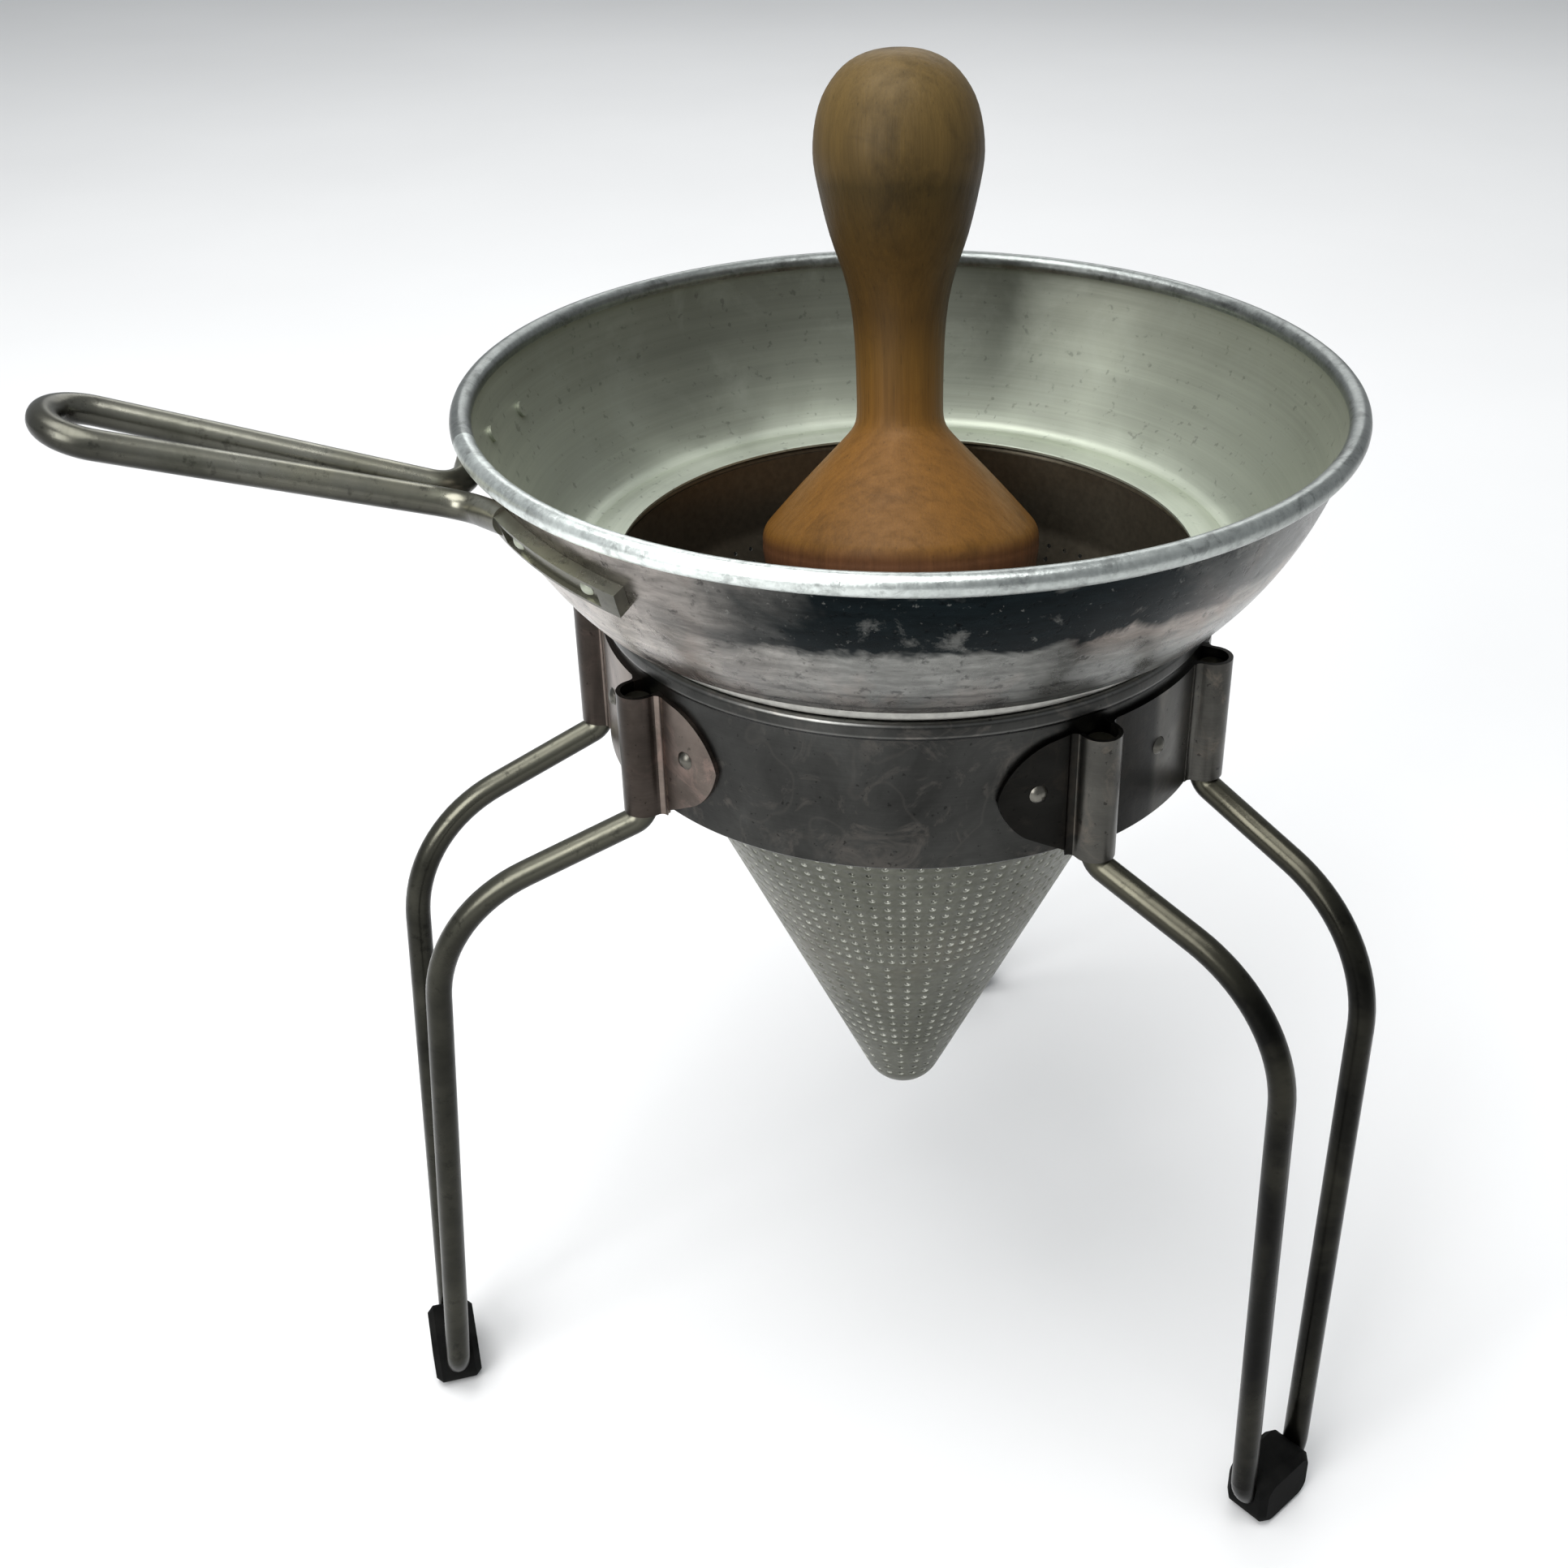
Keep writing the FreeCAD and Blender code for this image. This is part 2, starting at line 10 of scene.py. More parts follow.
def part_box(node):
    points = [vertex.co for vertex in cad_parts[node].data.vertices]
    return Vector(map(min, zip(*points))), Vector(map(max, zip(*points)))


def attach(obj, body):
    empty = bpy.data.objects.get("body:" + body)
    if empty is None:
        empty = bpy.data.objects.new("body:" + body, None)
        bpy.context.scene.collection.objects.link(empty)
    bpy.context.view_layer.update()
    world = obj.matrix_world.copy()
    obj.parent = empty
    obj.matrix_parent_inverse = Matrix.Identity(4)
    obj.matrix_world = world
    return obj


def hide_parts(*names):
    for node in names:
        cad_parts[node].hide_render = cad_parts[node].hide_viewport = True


MM = 0.001

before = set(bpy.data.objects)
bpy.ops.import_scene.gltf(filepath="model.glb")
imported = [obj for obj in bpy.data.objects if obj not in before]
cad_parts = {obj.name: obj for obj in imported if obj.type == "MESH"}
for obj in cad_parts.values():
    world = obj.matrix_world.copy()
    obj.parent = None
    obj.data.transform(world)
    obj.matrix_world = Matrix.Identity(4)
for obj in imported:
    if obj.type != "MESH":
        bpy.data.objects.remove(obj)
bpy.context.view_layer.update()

# ------------------------------------------------------------------ sizes, in millimetres
sieve_low, sieve_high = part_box("sieve_cone")
AXIS = Vector(((sieve_low[0] + sieve_high[0]) / 2, (sieve_low[1] + sieve_high[1]) / 2, 0))
BEAD_R = 2.6
RIM_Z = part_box("hopper_bowl")[1][2] / MM - BEAD_R
RIM_R = 107.4
WALL = 1.2
ARC_R = 84.8
ARC_X = 23.4
ARC_Z = RIM_Z + 16.2
FLOOR_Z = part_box("hopper_bowl")[0][2] / MM
CORNER_R = 7.0
THROAT_R = 73.0

CONE_SLOPE = 0.4524
HALF = math.atan(CONE_SLOPE)
TIP_R = 11.6
APEX_Z = sieve_low[2] / MM + TIP_R - TIP_R / math.sin(HALF)
SIEVE_WALL = 0.8
COLLAR_R = 74.4
SHOULDER_R = 8.0
HOLE_R = 0.64
HOLE_MOUTH_R = 0.86
HOLE_DIMPLE = 0.25
HOLE_PITCH = 3.88
HOLE_COLUMNS = 84
HOLE_FIRST_ROW = 0.6         # down the slope, from the shoulder to the first row
HOLE_LAST_GAP = 1.0
HOLE_MIN_SPACING = 2.9       # under this the number of columns halves
HOLE_HALVING_GAP = 0.5
SIEVE_BEAD_R = 2.1
SIEVE_BEAD_MIDDLE = 76.1

BAND_R = 76.9
BAND_WALL = 1.0
BAND_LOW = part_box("stand_ring")[0][2] / MM
BAND_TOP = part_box("stand_ring")[1][2] / MM
BAND_BEAD_R = 1.6
BAND_BEAD_MIDDLE = 76.4
BAND_BEAD_HEIGHT = 5.0
BUMP_FROM = BAND_R + 2.2     # a bracket's sockets stand out beyond this radius
SIEVE_BEAD_LOW = BAND_TOP + 0.3
RIGHT_BRACKET_MIDDLE = 0.676   # see around()

PESTLE_LEAN = math.radians(14.95)
PESTLE_AZIMUTH = math.radians(73.5)
PESTLE_HEAD_AWAY = 36.2
PESTLE_HEAD_Z = RIM_Z - 55.9
PESTLE_HEAD_R = 37.8
PESTLE_GAP = 0.4
PESTLE_LENGTH = 0.2683       # metres, from the round end's centre to the knob's top

CAMERA_PLACE = (-0.1468, -0.4263, 0.4533)      # from the cone's axis, metres
CAMERA_HEADING = math.radians(73.18)
CAMERA_PITCH = math.radians(29.71)
CAMERA_ROLL = math.radians(-0.68)
CAMERA_LENS = 44.85
CAMERA_SHIFT = (-0.0361, -0.0509)


# ------------------------------------------------------------------ shader helpers
class Net:
    """Builds one node material, a node per call."""

    def __init__(self, name):
        self.material = bpy.data.materials.new(name)
        self.material.use_nodes = True
        self.tree = self.material.node_tree
        self.shader = self.tree.nodes["Principled BSDF"]

    def put(self, socket, value):
        if isinstance(value, bpy.types.NodeSocket):
            self.tree.links.new(value, socket)
        elif value is not None:
            socket.default_value = value

    def node(self, kind, **settings):
        node = self.tree.nodes.new(kind)
        for key, value in settings.items():
            setattr(node, key, value)
        return node

    def coords(self, centre=None):
        """Object coordinates, in metres, from the cone's axis for CAD nodes."""
        place = self.node("ShaderNodeTexCoord").outputs["Object"]
        if centre is None:
            return place
        return self.vector("SUBTRACT", place, tuple(centre))

    def vector(self, operation, a, b=None, scale=None):
        node = self.node("ShaderNodeVectorMath", operation=operation)
        self.put(node.inputs[0], a)
        if b is not None:
            self.put(node.inputs[1], b)
        if scale is not None:
            self.put(node.inputs["Scale"], scale)
        return node.outputs["Value" if operation == "LENGTH" else "Vector"]

    def math(self, operation, a, b=None, c=None, clamp=False):
        node = self.node("ShaderNodeMath", operation=operation, use_clamp=clamp)
        for socket, value in zip(node.inputs, (a, b, c)):
            self.put(socket, value)
        return node.outputs[0]

    def turn(self, vector, axis, angle):
        node = self.node("ShaderNodeVectorRotate", rotation_type=axis)
        self.put(node.inputs["Vector"], vector)
        node.inputs["Angle"].default_value = angle
        return node.outputs[0]

    def split(self, vector):
        node = self.node("ShaderNodeSeparateXYZ")
        self.put(node.inputs[0], vector)
        return node.outputs

    def join(self, x, y, z):
        node = self.node("ShaderNodeCombineXYZ")
        for socket, value in zip(node.inputs, (x, y, z)):
            self.put(socket, value)
        return node.outputs[0]

    def polar(self, vector):
        """(distance from the Z axis, angle, height)"""
        x, y, z = self.split(vector)
        flat = self.join(x, y, 0.0)
        return self.vector("LENGTH", flat), self.math("ARCTAN2", y, x), z

    def noise(self, vector, scale, detail=4.0, rough=0.55, distortion=0.0):
        node = self.node("ShaderNodeTexNoise")
        self.put(node.inputs["Vector"], vector)
        node.inputs["Scale"].default_value = scale
        node.inputs["Detail"].default_value = detail
        node.inputs["Roughness"].default_value = rough
        node.inputs["Distortion"].default_value = distortion
        return node.outputs["Fac"]

    def ramp(self, value, *stops):
        """stops are (position, colour or grey)."""
        node = self.node("ShaderNodeValToRGB")
        self.put(node.inputs[0], value)
        elements = node.color_ramp.elements
        while len(elements) < len(stops):
            elements.new(0.5)
        for element, (position, colour) in zip(elements, stops):
            element.position = position
            if not isinstance(colour, tuple):
                colour = (colour, colour, colour)
            element.color = (*colour, 1.0)
        return node.outputs["Color"]

    def mix(self, factor, a, b, blend="MIX"):
        node = self.node("ShaderNodeMix", data_type="RGBA", blend_type=blend)
        self.put(node.inputs[0], factor)
        for socket, value in zip(node.inputs[6:8], (a, b)):
            if isinstance(value, tuple):
                value = (*value, 1.0)
            self.put(socket, value)
        return node.outputs[2]

    def bump(self, height, distance, strength=1.0, normal=None):
        node = self.node("ShaderNodeBump")
        node.inputs["Distance"].default_value = distance
        node.inputs["Strength"].default_value = strength
        self.put(node.inputs["Height"], height)
        if normal is not None:
            self.put(node.inputs["Normal"], normal)
        return node.outputs["Normal"]

    def finish(self, color, roughness, normal=None, metallic=0.0, **constants):
        if isinstance(color, tuple):
            color = (*color, 1.0)
        self.put(self.shader.inputs["Base Color"], color)
        self.put(self.shader.inputs["Roughness"], roughness)
        if normal is not None:
            self.put(self.shader.inputs["Normal"], normal)
        self.put(self.shader.inputs["Metallic"], metallic)
        for key, value in constants.items():
            self.shader.inputs[key.replace("_", " ")].default_value = value
        return self.material


def bowl_level(net, height):
    """0 at the bowl's flange, 1 at its rim."""
    return net.math("DIVIDE", net.math("SUBTRACT", height, FLOOR_Z * MM), (RIM_Z - FLOOR_Z) * MM)


def around(net, angle):
    """0 at the handle's side of the axis, 1 at the far side, through the front half.

    Tones that depend on this follow the light of the photograph.
    """
    return net.math("DIVIDE", net.math("ADD", angle, math.pi), math.pi)


# ------------------------------------------------------------------ materials
def bowl_inside(name="bowl_inside", centre=None):
    net = Net(name)
    place = net.coords(centre)
    radius, angle, height = net.polar(place)
    rings = net.noise(net.join(net.math("MULTIPLY", radius, 900.0), net.math("MULTIPLY", height, 900.0),
                               net.math("MULTIPLY", angle, 1.2)), 1.0, 3.0, 0.7)
    wide = net.noise(net.join(net.math("MULTIPLY", radius, 110.0), net.math("MULTIPLY", height, 110.0),
                              net.math("MULTIPLY", angle, 0.6)), 1.0, 2.0, 0.5)
    cloud = net.noise(place, 14.0, 5.0, 0.55, 0.6)
    level = bowl_level(net, height)
    level = net.math("ADD", level, net.math("MULTIPLY", net.math("SUBTRACT", cloud, 0.5), 0.30))
    # Painted light and shade: the tone is lighter towards the flange, where the wall faces up, and the ramp
    # by angle darkens the back of the upper wall and lightens its left and right sides.
    tone = net.ramp(level, (0.02, (0.50, 0.54, 0.45)), (0.16, (0.34, 0.365, 0.30)),
                    (0.45, (0.335, 0.358, 0.292)), (0.95, (0.285, 0.298, 0.243)))
    painted_light = net.ramp(net.math("ADD", net.math("DIVIDE", angle, 2 * math.pi), 0.5), (0.40, 1.18), (0.56, 1.00),
                     (0.70, 0.50), (0.80, 0.58), (0.90, 1.0), (0.97, 1.5))
    tone = net.mix(net.ramp(level, (0.05, 0.0), (0.40, 1.0)), tone, net.mix(1.0, tone, painted_light, "MULTIPLY"))
    tone = net.mix(0.30, tone, net.ramp(wide, (0.3, 0.34), (0.7, 0.68)), "OVERLAY")
    tone = net.mix(0.10, tone, net.ramp(rings, (0.3, 0.2), (0.7, 0.8)), "OVERLAY")
    haze = net.noise(place, 46.0, 5.0, 0.65, 0.5)
    tone = net.mix(net.ramp(haze, (0.50, 0.0), (0.74, 0.35)), tone, (0.36, 0.385, 0.33))
    specks = net.ramp(net.noise(place, 420.0, 2.0, 0.6), (0.28, 0.72), (0.36, 1.0))
    tone = net.mix(1.0, tone, specks, "MULTIPLY")
    rough = net.ramp(cloud, (0.3, 0.52), (0.7, 0.40))
    normal = net.bump(rings, 0.00005, 0.45)
    normal = net.bump(net.noise(place, 55.0, 3.0, 0.5), 0.0006, 0.22, normal)
    return net.finish(tone, rough, normal, metallic=0.8)


def bowl_rim():
    net = Net("bowl_rim")
    place = net.coords()
    dents = net.noise(place, 620.0, 3.0, 0.65)
    blotch = net.ramp(net.noise(place, 45.0, 6.0, 0.62), (0.32, 0.50), (0.68, 0.78))
    tone = net.mix(0.5, blotch, net.ramp(dents, (0.3, 0.35), (0.6, 0.85)), "OVERLAY")
    angle = net.polar(place)[1]
    # Painted light and shade: the rim is lighter on the handle's side and at the front-left, and darker
    # towards the right and the back.
    painted_light = net.ramp(around(net, angle), (0.0, 0.82), (0.24, 1.18), (0.42, 0.66), (0.62, 0.52),
                     (0.80, 0.34), (1.0, 0.36))
    tone = net.mix(1.0, tone, painted_light, "MULTIPLY")
    tone = net.mix(1.0, tone, (0.94, 1.0, 0.965), "MULTIPLY")
    worn = net.ramp(net.noise(place, 190.0, 4.0, 0.7, 0.4), (0.36, 0.55), (0.46, 1.0))
    tone = net.mix(0.7, tone, worn, "MULTIPLY")
    rough = net.ramp(net.noise(place, 120.0, 4.0, 0.6), (0.3, 0.44), (0.7, 0.28))
    normal = net.bump(dents, 0.00014, 0.6)
    normal = net.bump(net.noise(place, 110.0, 3.0, 0.5), 0.0005, 0.3, normal)
    return net.finish(tone, rough, normal, metallic=0.95)


def bowl_outside():
    net = Net("bowl_outside")
    place = net.coords()
    angle, height = net.polar(place)[1:]
    level = bowl_level(net, height)
    side = around(net, angle)
    waves = net.noise(net.join(net.math("MULTIPLY", angle, 2.4), net.math("MULTIPLY", level, 1.3), 0.0),
                      1.6, 4.0, 0.6, 0.7)
    swing = net.math("MULTIPLY", net.math("SUBTRACT", waves, 0.5), 0.42)
    # Painted light and reflection: the outside is lighter on the handle's side and the front-left, and darker
    # across the front and right, wavering with the waves.
    light = net.ramp(net.math("ADD", side, net.math("MULTIPLY", swing, 0.5)), (0.0, (0.42, 0.38, 0.34)),
                     (0.20, (0.33, 0.30, 0.275)), (0.36, (0.17, 0.17, 0.16)), (0.62, (0.175, 0.175, 0.163)),
                     (0.80, (0.16, 0.16, 0.145)), (1.0, (0.15, 0.15, 0.14)))
    mottle = net.noise(place, 62.0, 6.0, 0.66, 0.7)
    light = net.mix(0.55, light, net.ramp(mottle, (0.30, 0.22), (0.70, 0.82)), "OVERLAY")
    pink = net.noise(place, 24.0, 4.0, 0.6, 0.5)
    light = net.mix(net.ramp(pink, (0.50, 0.0), (0.66, 0.40)), light, (0.36, 0.25, 0.20))
    # Painted reflection: a dark bluish band over the upper outside, strongest across the front, broken by
    # gaps and fading towards the rim.
    high = net.math("ADD", level, swing)
    dark_reflection_band = net.ramp(high, (0.52, 0.0), (0.58, 1.0), (0.93, 1.0), (1.02, 0.45))
    where = net.ramp(net.math("ADD", side, net.math("MULTIPLY", swing, 0.4)), (0.10, 0.20), (0.24, 0.45),
                     (0.33, 1.0), (0.58, 1.0), (0.68, 0.55), (0.90, 0.80))
    dark = net.mix(1.0, dark_reflection_band, where, "MULTIPLY")
    gaps = net.ramp(net.noise(place, 58.0, 7.0, 0.72, 0.25), (0.58, 1.0), (0.68, 0.50))
    dark = net.mix(1.0, dark, gaps, "MULTIPLY")
    tone = net.mix(dark, light, (0.004, 0.0065, 0.0075))
    foot = net.math("ADD", level, net.math("MULTIPLY", net.math("SUBTRACT", mottle, 0.5), 0.05))
    lines = net.ramp(foot, (0.015, 0.35), (0.035, 1.0), (0.075, 1.0), (0.09, 0.25), (0.105, 1.0), (0.19, 1.0),
                     (0.205, 0.5), (0.225, 1.0))
    tone = net.mix(0.85, tone, lines, "MULTIPLY")
    drag = net.noise(net.join(net.math("MULTIPLY", angle, 9.0), 0.0, net.math("MULTIPLY", height, 420.0)),
                     1.0, 4.0, 0.7, 0.4)
    tone = net.mix(0.5, tone, net.ramp(drag, (0.34, 0.22), (0.66, 0.80)), "OVERLAY")
    pits = net.ramp(net.noise(place, 300.0, 3.0, 0.7), (0.32, 0.30), (0.42, 1.0))
    tone = net.mix(0.75, tone, pits, "MULTIPLY")
    dust = net.ramp(net.noise(place, 480.0, 3.0, 0.7), (0.64, 0.0), (0.76, 0.35))
    tone = net.mix(dust, tone, (0.30, 0.30, 0.28))
    rough = net.ramp(mottle, (0.35, 0.20), (0.65, 0.36))
    normal = net.bump(net.noise(place, 34.0, 3.0, 0.5, 0.3), 0.0012, 0.25)
    normal = net.bump(pits, 0.0001, 0.35, normal)
    return net.finish(tone, rough, normal, metallic=1.0)


def sieve_metal():
    net = Net("sieve_metal")
    place = net.coords()
    radius, _, height = net.polar(place)
    cloud = net.noise(place, 26.0, 6.0, 0.6)
    tone = net.ramp(cloud, (0.3, (0.074, 0.076, 0.058)), (0.7, (0.120, 0.122, 0.099)))
    brown = net.ramp(net.noise(place, 15.0, 4.0, 0.6, 0.5), (0.52, 0.0), (0.70, 0.45))
    tone = net.mix(brown, tone, (0.15, 0.13, 0.095))
    collar = net.ramp(net.math("DIVIDE", height, BAND_LOW * MM + 0.004), (0.965, 0.0), (1.0, 1.0))
    tone = net.mix(collar, tone, (0.150, 0.132, 0.098))
    # Painted highlight: the sieve's rolled bead above the band is given a pale tone so that it reads as a
    # bright ring.
    bead = net.math("MULTIPLY", net.math("GREATER_THAN", radius, (COLLAR_R + 0.4) * MM),
                    net.math("GREATER_THAN", height, BAND_TOP * MM))
    tone = net.mix(bead, tone, (0.34, 0.335, 0.31))
    fine = net.noise(place, 520.0, 3.0, 0.6)
    tone = net.mix(0.35, tone, net.ramp(fine, (0.3, 0.3), (0.7, 0.75)), "OVERLAY")
    rough = net.ramp(cloud, (0.3, 0.46), (0.7, 0.34))
    normal = net.bump(fine, 0.0001, 0.35)
    return net.finish(tone, rough, normal, metallic=0.85)


def hole_metal():
    """The walls of the punched holes, lighter than the sheet: bared metal, and painted light for the light
    that shows through the holes.
    """
    net = Net("hole_metal")
    place = net.coords()
    cloud = net.noise(place, 90.0, 4.0, 0.6)
    tone = net.ramp(cloud, (0.35, (0.12, 0.123, 0.100)), (0.65, (0.40, 0.405, 0.36)))
    rough = net.ramp(cloud, (0.3, 0.34), (0.7, 0.46))
    return net.finish(tone, rough, net.bump(net.noise(place, 900.0, 2.0, 0.5), 0.00005, 0.3), metallic=0.6)


def stand_metal(name, centre, tint, stain, bump_shade=None, near_tab_shade=1.0, painted_bead_lines_from=None):
    """bump_shade darkens a bracket's sockets, near_tab_shade the right one's tab on the handle's side.

    Both copy how light or dark the photograph shows them, so they hold for its light only.
    """
    net = Net(name)
    place = net.coords(centre)
    radius, angle, height = net.polar(place)
    cloud = net.noise(place, 30.0, 7.0, 0.62, 0.5)
    tone = net.ramp(cloud, (0.30, tuple(0.55 * c for c in tint)), (0.52, tint),
                    (0.74, tuple(min(1.0, 1.7 * c) for c in tint)))
    brush = net.noise(net.join(net.math("MULTIPLY", angle, 3.0), 0.0, net.math("MULTIPLY", height, 2600.0)),
                      1.0, 3.0, 0.6)
    tone = net.mix(0.12, tone, net.ramp(brush, (0.3, 0.25), (0.7, 0.75)), "OVERLAY")
    mark = net.noise(place, 70.0, 5.0, 0.7, 1.2)
    tone = net.mix(net.ramp(mark, (0.54, 0.0), (0.68, 0.6)), tone, stain)
    # faint pale outlines
    ghosts = net.math("ABSOLUTE", net.math("SUBTRACT", net.noise(place, 42.0, 2.0, 0.4), 0.52))
    tone = net.mix(net.ramp(ghosts, (0.003, 0.14), (0.010, 0.0)), tone, stain)
    specks = net.ramp(net.noise(place, 620.0, 2.0, 0.6), (0.27, 0.5), (0.34, 1.0))
    tone = net.mix(1.0, tone, specks, "MULTIPLY")
    if painted_bead_lines_from is not None:
        # Painted highlights and shade on the band's top bead: a dark strip just above its lower edge, a
        # bright line over that, and a brightening towards its top.
        rise = net.math("MULTIPLY", net.math("SUBTRACT", height, painted_bead_lines_from * MM), 100.0)
        lines = net.ramp(rise, (0.02, 1.0), (0.04, 0.3), (0.10, 0.3), (0.13, 2.6), (0.18, 1.0), (0.38, 1.0),
                         (0.42, 3.6), (0.52, 5.0))
        tone = net.mix(1.0, tone, lines, "MULTIPLY")
    if bump_shade is not None:
        raised = net.math("GREATER_THAN", radius, BUMP_FROM * MM)
        tabs = net.ramp(around(net, angle), (RIGHT_BRACKET_MIDDLE - 0.01, near_tab_shade),
                        (RIGHT_BRACKET_MIDDLE, 1.0))
        painted_light = net.mix(raised, tabs, (bump_shade, bump_shade, bump_shade))
        tone = net.mix(1.0, tone, painted_light, "MULTIPLY")
    rough = net.ramp(cloud, (0.3, 0.40), (0.7, 0.26))
    normal = net.bump(brush, 0.00003, 0.35)
    normal = net.bump(cloud, 0.0008, 0.2, normal)
    return net.finish(tone, rough, normal, metallic=1.0)


def wire_metal(name, centre, dark, light, brassy, brass_from=None):
    """brass_from is the height, in metres, over which a leg turns brassy; the handle has none."""
    net = Net(name)
    place = net.coords(centre)
    cloud = net.noise(place, 40.0, 6.0, 0.65, 0.4)
    tone = net.ramp(cloud, (0.32, dark), (0.68, light))
    patina = net.noise(place, 17.0, 5.0, 0.6, 0.8)
    amount = net.ramp(patina, (0.48, 0.0), (0.66, 0.7 if brass_from is None else 0.3))
    if brass_from is not None:
        height = net.split(place)[2]
        rise = net.ramp(net.math("MULTIPLY", height, 5.0), (brass_from * 5.0, 0.0),
                        (brass_from * 5.0 + 0.16, 0.9))
        amount = net.mix(1.0, amount, rise, "LIGHTEN")
    tone = net.mix(amount, tone, brassy)
    if brass_from is None:
        reach = net.math("MULTIPLY", net.polar(place)[0], 5.0)
        tone = net.mix(1.0, tone, net.ramp(reach, (0.535, 1.5), (0.548, 0.75), (0.62, 0.95), (0.84, 0.95),
                                           (0.97, 0.34)), "MULTIPLY")
    # darker below and lighter above, as in the photograph's light: this is not a colour of the metal
    up = net.split(net.node("ShaderNodeNewGeometry").outputs["Normal"])[2]
    under = net.math("ADD", net.math("MULTIPLY", up, 0.5), 0.5)
    tone = net.mix(1.0, tone, net.ramp(under, (0.22, 0.16), (0.50, 0.55), (0.72, 1.25)), "MULTIPLY")
    grime = net.ramp(net.noise(place, 300.0, 3.0, 0.7), (0.30, 0.45), (0.42, 1.0))
    tone = net.mix(0.8, tone, grime, "MULTIPLY")
    rough = net.ramp(cloud, (0.3, 0.38), (0.7, 0.22))
    normal = net.bump(net.noise(place, 240.0, 4.0, 0.6), 0.00012, 0.45)
    return net.finish(tone, rough, normal, metallic=0.9)


def rubber():
    net = Net("foot_rubber")
    place = net.coords()
    fine = net.noise(place, 900.0, 4.0, 0.6)
    dust = net.noise(place, 70.0, 5.0, 0.65)
    tone = net.ramp(dust, (0.40, (0.0022, 0.0023, 0.0022)), (0.75, (0.010, 0.010, 0.0092)))
    rough = net.ramp(dust, (0.3, 0.66), (0.7, 0.85))
    normal = net.bump(fine, 0.0001, 0.5)
    return net.finish(tone, rough, normal, Specular_IOR_Level=0.06)


def wood():
    net = Net("pestle_wood")
    # the grain runs along the pestle's own axis
    place = net.turn(net.turn(net.coords(), "Z_AXIS", -PESTLE_AZIMUTH), "Y_AXIS", -PESTLE_LEAN)
    x, y, z = net.split(place)
    sway = net.noise(net.join(x, y, net.math("MULTIPLY", z, 0.3)), 14.0, 2.0, 0.5)
    bend = net.math("MULTIPLY", net.math("SUBTRACT", sway, 0.5), 0.006)
    across = net.math("ADD", x, bend)
    grain = net.noise(net.join(net.math("MULTIPLY", across, 560.0), net.math("MULTIPLY", y, 210.0),
                               net.math("MULTIPLY", z, 7.0)), 1.0, 3.0, 0.6)
    fibres = net.noise(net.join(net.math("MULTIPLY", x, 1700.0), net.math("MULTIPLY", y, 1700.0),
                                net.math("MULTIPLY", z, 40.0)), 1.0, 4.0, 0.65)
    # 0 at the round end's centre, 1 at the knob's top
    s = net.math("DIVIDE", z, PESTLE_LENGTH)
    blotch = net.noise(place, 22.0, 5.0, 0.6, 0.5)
    along = net.math("ADD", s, net.math("MULTIPLY", net.math("SUBTRACT", blotch, 0.5), 0.012))
    base = net.ramp(along, (0.0, (0.090, 0.046, 0.018)), (0.44, (0.085, 0.042, 0.017)),
                    (0.50, (0.100, 0.042, 0.021)), (0.522, (0.108, 0.045, 0.019)),
                    (0.535, (0.138, 0.062, 0.012)), (0.62, (0.140, 0.062, 0.011)),
                    (0.70, (0.098, 0.048, 0.0088)), (0.745, (0.058, 0.029, 0.0058)),
                    (0.80, (0.060, 0.032, 0.0075)), (0.866, (0.044, 0.027, 0.0065)),
                    (0.882, (0.070, 0.043, 0.012)), (1.0, (0.105, 0.068, 0.022)))
    tone = net.mix(0.30, base, net.ramp(grain, (0.32, 0.24), (0.50, 0.52), (0.68, 0.72)), "OVERLAY")
    tone = net.mix(0.22, tone, net.ramp(fibres, (0.30, 0.25), (0.70, 0.70)), "OVERLAY")
    stain = net.ramp(net.noise(place, 36.0, 6.0, 0.7, 0.5), (0.32, 0.50), (0.46, 1.0))
    tone = net.mix(0.65, tone, stain, "MULTIPLY")
    pores = net.ramp(fibres, (0.28, 0.40), (0.35, 1.0))
    tone = net.mix(0.7, tone, pores, "MULTIPLY")
    rough = net.ramp(grain, (0.3, 0.56), (0.7, 0.44))
    normal = net.bump(fibres, 0.0002, 0.45)
    normal = net.bump(grain, 0.0002, 0.15, normal)
    return net.finish(tone, rough, normal, Specular_IOR_Level=0.16)


# ------------------------------------------------------------------ mesh helpers
def round_z(radius, angle, z):
    """A point at a distance from Z, in millimetres, as the mesh's metres."""
    return radius * math.cos(angle) * MM, radius * math.sin(angle) * MM, z * MM


def arc(centre_r, centre_z, radius, start, end, steps):
    """Section points on a circle; 0 degrees points away from the axis, 90 up."""
    points = []
    for i in range(steps + 1):
        angle = math.radians(start + (end - start) * i / steps)
        points.append((centre_r + radius * math.cos(angle), centre_z + radius * math.sin(angle)))
    return points


def add_object(name, mesh, body, replaced=(), place=None, crease=35.0):
    mesh.shade_smooth()
    mesh.set_sharp_from_angle(angle=math.radians(crease))
    piece = bpy.data.objects.new(name, mesh)
    bpy.context.collection.objects.link(piece)
    piece.matrix_world = place or Matrix.Translation(AXIS)
    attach(piece, body)
    if replaced:
        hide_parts(*replaced)
    return piece


